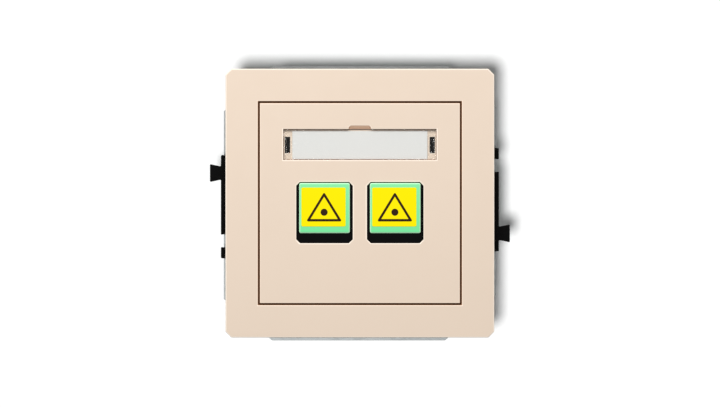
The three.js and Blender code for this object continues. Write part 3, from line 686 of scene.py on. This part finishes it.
def coil_spring(side):
    """The flap's torsion spring: a close coil of round wire about the hinge pin."""
    node = f"{side}_flap_spring"
    low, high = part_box(node)
    centre = middle(f"{side}_flap_pin")
    start, end = low.x + COIL_WIRE / 2.0, high.x - COIL_WIRE / 2.0
    sections = []
    steps = COIL_TURNS * COIL_STEPS
    for step in range(steps + 1):
        angle = math.tau * COIL_TURNS * step / steps
        outward = Vector((0.0, math.cos(angle), math.sin(angle)))
        spot = Vector((start + (end - start) * step / steps, centre.y, centre.z)) + outward * COIL_RADIUS
        section = []
        for corner in range(WIRE_SIDES):
            turn = math.tau * corner / WIRE_SIDES
            along = Vector((1.0, 0.0, 0.0)) * math.sin(turn) + outward * math.cos(turn)
            section.append(spot + along * COIL_WIRE / 2.0)
        sections.append(section)
    bm = bmesh.new()
    skin(bm, sections)
    spring = new_piece(f"{side}_spring_coil", bm, [dark_steel], f"{side}_flap_body", node)
    return crisp(spring, 60.0)


SLEEVE_WALL = 0.35 * MM
SLEEVE_SLIT = 0.4 * MM
SLEEVE_CHAMFER = 0.08 * MM
SLEEVE_STEPS = 64


def split_sleeve(side):
    """The ceramic alignment tube, slit along its whole length and chamfered at its ends."""
    node = f"{side}_alignment_sleeve"
    low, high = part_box(node)
    outer = (high.z - low.z) / 2.0
    inner = outer - SLEEVE_WALL
    centre = Vector((low.x + outer, 0.0, (low.z + high.z) / 2.0))
    soft = SLEEVE_CHAMFER
    corners = [(inner, low.y + soft), (inner + soft, low.y), (outer - soft, low.y), (outer, low.y + soft),
               (outer, high.y - soft), (outer - soft, high.y), (inner + soft, high.y), (inner, high.y - soft)]
    half_slit = SLEEVE_SLIT / 2.0 / outer
    sections = []
    for step in range(SLEEVE_STEPS + 1):
        angle = half_slit + (math.tau - 2.0 * half_slit) * step / SLEEVE_STEPS
        outward = Vector((math.cos(angle), 0.0, math.sin(angle)))
        sections.append([centre + outward * reach + Vector((0.0, y, 0.0)) for reach, y in corners])
    bm = bmesh.new()
    skin(bm, sections)
    return crisp(new_piece(f"{side}_split_sleeve", bm, [ceramic], "outlet_body", node))


# Dust caps

# From the bottom of the hollow, round its lip, along the plug and over the flange to the grip's end:
# the place behind the cap's front, half the width, half the height and the corner radius, in mm.
CAP_SECTIONS = [
    (2.7, 2.6, 3.4, 0.5), (0.2, 2.6, 3.4, 0.5), (0.0, 2.8, 3.6, 0.6), (0.0, 3.3, 4.1, 0.9),
    (0.25, 3.5, 4.3, 1.0), (0.5, 3.6, 4.4, 1.0), (3.5, 3.6, 4.4, 1.0), (3.7, 3.7, 4.5, 1.0),
    (3.7, 4.35, 5.25, 1.1), (3.85, 4.55, 5.45, 1.3), (4.0, 4.6, 5.5, 1.3), (4.6, 4.6, 5.5, 1.3),
    (4.8, 4.5, 5.4, 1.2), (4.9, 4.3, 5.2, 1.1), (4.9, 1.5, 3.9, 0.9), (5.05, 1.2, 3.6, 0.8),
    (5.3, 1.05, 3.5, 0.75),
]
# The grip's three grooves: where each starts, and the place and half width of each step across it.
GRIP_GROOVES = (5.7, 6.45, 7.2)
GROOVE_SECTIONS = [(0.0, 1.1), (0.12, 0.85), (0.25, 0.78), (0.38, 0.85), (0.5, 1.1)]
GRIP_HALF_HEIGHT = 3.5
GRIP_CORNER = 0.75
GRIP_END = [(8.0, 1.1, 3.5, 0.75), (8.25, 0.95, 3.35, 0.6), (8.4, 0.6, 3.0, 0.3)]


def dust_cap(side):
    """A soft cap: a hollow plug, a flange and a ribbed grip."""
    node = f"{side}_rear_dust_cap"
    low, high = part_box(node)
    centre_x, centre_z = (low.x + high.x) / 2.0, (low.z + high.z) / 2.0
    shapes = list(CAP_SECTIONS)
    for groove in GRIP_GROOVES:
        for step, half_width in GROOVE_SECTIONS:
            shapes.append((groove + step, half_width, GRIP_HALF_HEIGHT, GRIP_CORNER))
    sections = []
    for behind, half_width, half_height, radius in shapes + GRIP_END:
        corners = [(-half_width, -half_height), (half_width, -half_height),
                   (half_width, half_height), (-half_width, half_height)]
        outline = rounded_corners(corners, min(radius, 0.95 * half_width))
        y = low.y + behind * MM
        sections.append([(centre_x + x * MM, y, centre_z + z * MM) for x, z in outline])
    bm = bmesh.new()
    skin(bm, sections)
    return crisp(new_piece(f"{side}_soft_cap", bm, [rubber], f"{side}_cap_body", node), 40.0)


STICKER_CORNER = 0.35 * MM
PRINT_THICKNESS = 0.02 * MM
# The printed triangle, before its corners are rounded.
MARK_WIDTH = 9.15 * MM
MARK_HEIGHT = 7.5 * MM
MARK_STROKE = 0.62 * MM
MARK_CORNER = 0.3 * MM
MARK_INNER_CORNER = 0.03 * MM
MARK_BASE = 1.27 * MM  # above the sticker's lower edge
MARK_SHIFT = 0.15 * MM  # to the right of the sticker's middle
DOT_RADIUS = 0.9 * MM
DOT_RISE = 2.35 * MM  # above the mark's base
DOT_SIDES = 32


def sticker(side):
    """A yellow vinyl sticker with a plain printed mark: an outlined triangle round a dot."""
    node = f"{side}_flap_label"
    low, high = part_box(node)
    bm = bmesh.new()
    corners = [(low.x, low.z), (high.x, low.z), (high.x, high.z), (low.x, high.z)]
    face_y = low.y + PRINT_THICKNESS
    prism(bm, rounded_corners(corners, STICKER_CORNER), face_y, high.y)
    mark_x = (low.x + high.x) / 2.0 + MARK_SHIFT
    base = low.z + MARK_BASE
    half = MARK_WIDTH / 2.0
    triangle = [(mark_x - half, base), (mark_x + half, base), (mark_x, base + MARK_HEIGHT)]
    outer = rounded_corners(triangle, MARK_CORNER)
    inner = rounded_corners(inset_triangle(triangle, MARK_STROKE), MARK_INNER_CORNER)
    prism(bm, outer, low.y, face_y, 1, inner)
    dot = [(mark_x + DOT_RADIUS * math.cos(turn), base + DOT_RISE + DOT_RADIUS * math.sin(turn))
           for turn in (math.tau * step / DOT_SIDES for step in range(DOT_SIDES))]
    prism(bm, dot, low.y, face_y, 1)
    return new_piece(f"{side}_sticker", bm, [yellow, ink], f"{side}_flap_body", node)


for corner in ("top_left", "top_right", "bottom_right", "bottom_left"):
    slotted_screw(f"carrier_screw_{corner}", "outlet_body", head_height=1.5 * MM, shank=1.15 * MM)
for side in SIDES:
    sticker(side)
    slotted_screw(f"{side}_claw_screw", f"{side}_screw_body", head_height=1.8 * MM, shank=1.5 * MM)
    pin(f"{side}_claw_pin", "z", zinc, chamfer=0.3 * MM)
    pin(f"{side}_flap_pin", "x", dark_steel, chamfer=0.1 * MM)
    coil_spring(side)
    split_sleeve(side)
    dust_cap(side)


# ---------------------------------------------------------------- stage


def stage_material(name, color, glow=0.0):
    """A matte backdrop that is seen and lit from its front only."""
    material, tree, shader = principled(name, color, 1.0, Specular_IOR_Level=0.0)
    shader.inputs["Emission Color"].default_value = rgba(color)
    shader.inputs["Emission Strength"].default_value = glow
    geometry = add(tree, "ShaderNodeNewGeometry")
    open_shader = add(tree, "ShaderNodeBsdfTransparent")
    inputs = {0: geometry.outputs["Backfacing"], 1: shader.outputs[0], 2: open_shader.outputs[0]}
    mixed = add(tree, "ShaderNodeMixShader", inputs)
    tree.links.new(mixed.outputs[0], tree.nodes["Material Output"].inputs["Surface"])
    return material


def stage_plane(name, corners, material):
    """A flat stage piece with four corners."""
    mesh = bpy.data.meshes.new(name)
    mesh.from_pydata(corners, [], [(0, 1, 2, 3)])
    obj = bpy.data.objects.new(name, mesh)
    bpy.context.scene.collection.objects.link(obj)
    mesh.materials.append(material)
    return obj


PALE_PAPER = (0.8, 0.8, 0.8)
FLOOR_GLOW = 0.62
BACKDROP_GAP = 5.0 * MM
FLOOR_DROP = 60.0 * MM
HALF_WIDTH = 0.4
BACKDROP_TOP = 0.3
FLOOR_FRONT = -0.5
FLOOR_BACK = 0.5
backdrop_y = cad_high.y + BACKDROP_GAP
floor_z = cad_low.z - FLOOR_DROP
backdrop = stage_plane(
    "backdrop",
    [(-HALF_WIDTH, backdrop_y, floor_z), (HALF_WIDTH, backdrop_y, floor_z),
     (HALF_WIDTH, backdrop_y, BACKDROP_TOP), (-HALF_WIDTH, backdrop_y, BACKDROP_TOP)],
    stage_material("backdrop_paper", PALE_PAPER),
)
floor = stage_plane(
    "floor",
    [(-HALF_WIDTH, FLOOR_FRONT, floor_z), (HALF_WIDTH, FLOOR_FRONT, floor_z),
     (HALF_WIDTH, FLOOR_BACK, floor_z), (-HALF_WIDTH, FLOOR_BACK, floor_z)],
    stage_material("pale_floor", PALE_PAPER, FLOOR_GLOW),
)
for plane in (backdrop, floor):
    plane.visible_shadow = False  # lamps stand beyond them
# The floor's glow is only looked at: it lights nothing.
floor.visible_diffuse = False
floor.visible_glossy = False
floor.visible_transmission = False

# The camera looks straight on from far away, so that the cover is shown without much perspective.
CAMERA_DISTANCE = 1.5
VIEW_WIDTH = 183.2 * MM
CAMERA_X = 0.03 * MM
CAMERA_Z = -0.09 * MM
camera_data = bpy.data.cameras.new("camera")
camera_data.sensor_width = 36.0
camera_data.lens = camera_data.sensor_width * CAMERA_DISTANCE / VIEW_WIDTH
camera_data.clip_start = 0.1
camera_data.clip_end = 10.0
camera = bpy.data.objects.new("camera", camera_data)
camera.location = (CAMERA_X, COVER_FRONT - CAMERA_DISTANCE, CAMERA_Z)
camera.rotation_euler = (math.radians(90.0), 0.0, 0.0)
bpy.context.scene.collection.objects.link(camera)
bpy.context.scene.camera = camera


def add_sun(name, offset_x, offset_z, strength, size):
    """A distant lamp in front of the object. Its size, and how far it stands off the view line, are in
    degrees."""
    data = bpy.data.lights.new(name, "SUN")
    data.energy = strength
    data.angle = math.radians(size)
    lamp = bpy.data.objects.new(name, data)
    direction = Vector((-math.tan(math.radians(offset_x)), 1.0, -math.tan(math.radians(offset_z))))
    lamp.rotation_mode = "QUATERNION"
    lamp.rotation_quaternion = direction.to_track_quat("-Z", "Y")
    bpy.context.scene.collection.objects.link(lamp)
    return lamp


def add_panel(name, location, width, height, power):
    """A soft rectangular lamp turned towards the object."""
    data = bpy.data.lights.new(name, "AREA")
    data.shape = "RECTANGLE"
    data.size = width
    data.size_y = height
    data.energy = power
    lamp = bpy.data.objects.new(name, data)
    lamp.location = location
    lamp.rotation_mode = "QUATERNION"
    lamp.rotation_quaternion = (-Vector(location)).to_track_quat("-Z", "Y")
    bpy.context.scene.collection.objects.link(lamp)
    return lamp


def linked(name, objects, state):
    """A collection for light linking that takes in, or leaves out, the given objects."""
    collection = bpy.data.collections.new(name)
    for obj in objects:
        collection.objects.link(obj)
    for entry in collection.collection_objects:
        entry.light_linking.link_state = state
    return collection


stage = [backdrop, floor]
support = nodes["support_frame"]
black_names = ["port_carrier"]
for side in SIDES:
    black_names += [f"{side}_keystone_body", f"{side}_joiner_rail"]
black_pieces = [nodes[name] for name in black_names]

backdrop_sun = add_sun("backdrop_sun", offset_x=-4.5, offset_z=-4.85, strength=3.42, size=7.2)
backdrop_sun.light_linking.receiver_collection = linked("stage_only", stage, "INCLUDE")
softbox = add_panel("softbox", (-0.06, -0.5, 0.23), width=0.45, height=0.25, power=3.42)
softbox.light_linking.receiver_collection = linked("all_but_stage_and_frame", stage + [support], "EXCLUDE")
frame_softbox = add_panel("frame_softbox", (-0.12, -0.5, -0.08), width=0.5, height=0.35, power=2.4)
frame_softbox.light_linking.receiver_collection = linked("frame_only", [support], "INCLUDE")
rear_softbox = add_panel("rear_softbox", (-0.3, 0.45, 0.35), width=0.4, height=0.3, power=2.6)
rear_softbox.light_linking.receiver_collection = linked("all_but_stage", stage, "EXCLUDE")
black_softbox = add_panel("black_softbox", (-0.25, 0.45, 0.3), width=0.4, height=0.3, power=30.0)
black_softbox.light_linking.receiver_collection = linked("black_only", black_pieces, "INCLUDE")

AMBIENT = 0.25  # how strongly the surroundings light the object
PALE = 0.8  # how bright they look themselves
world = bpy.data.worlds.new("studio")
world.use_nodes = True
surroundings = world.node_tree.nodes["Background"]
surroundings.inputs["Color"].default_value = rgba((1.0, 1.0, 1.0))
seen = add(world.node_tree, "ShaderNodeLightPath").outputs["Is Camera Ray"]
strength = spread(world.node_tree, seen, AMBIENT, PALE, 0.0, 1.0)
world.node_tree.links.new(strength, surroundings.inputs["Strength"])
bpy.context.scene.world = world
bpy.context.scene.view_settings.view_transform = "Standard"
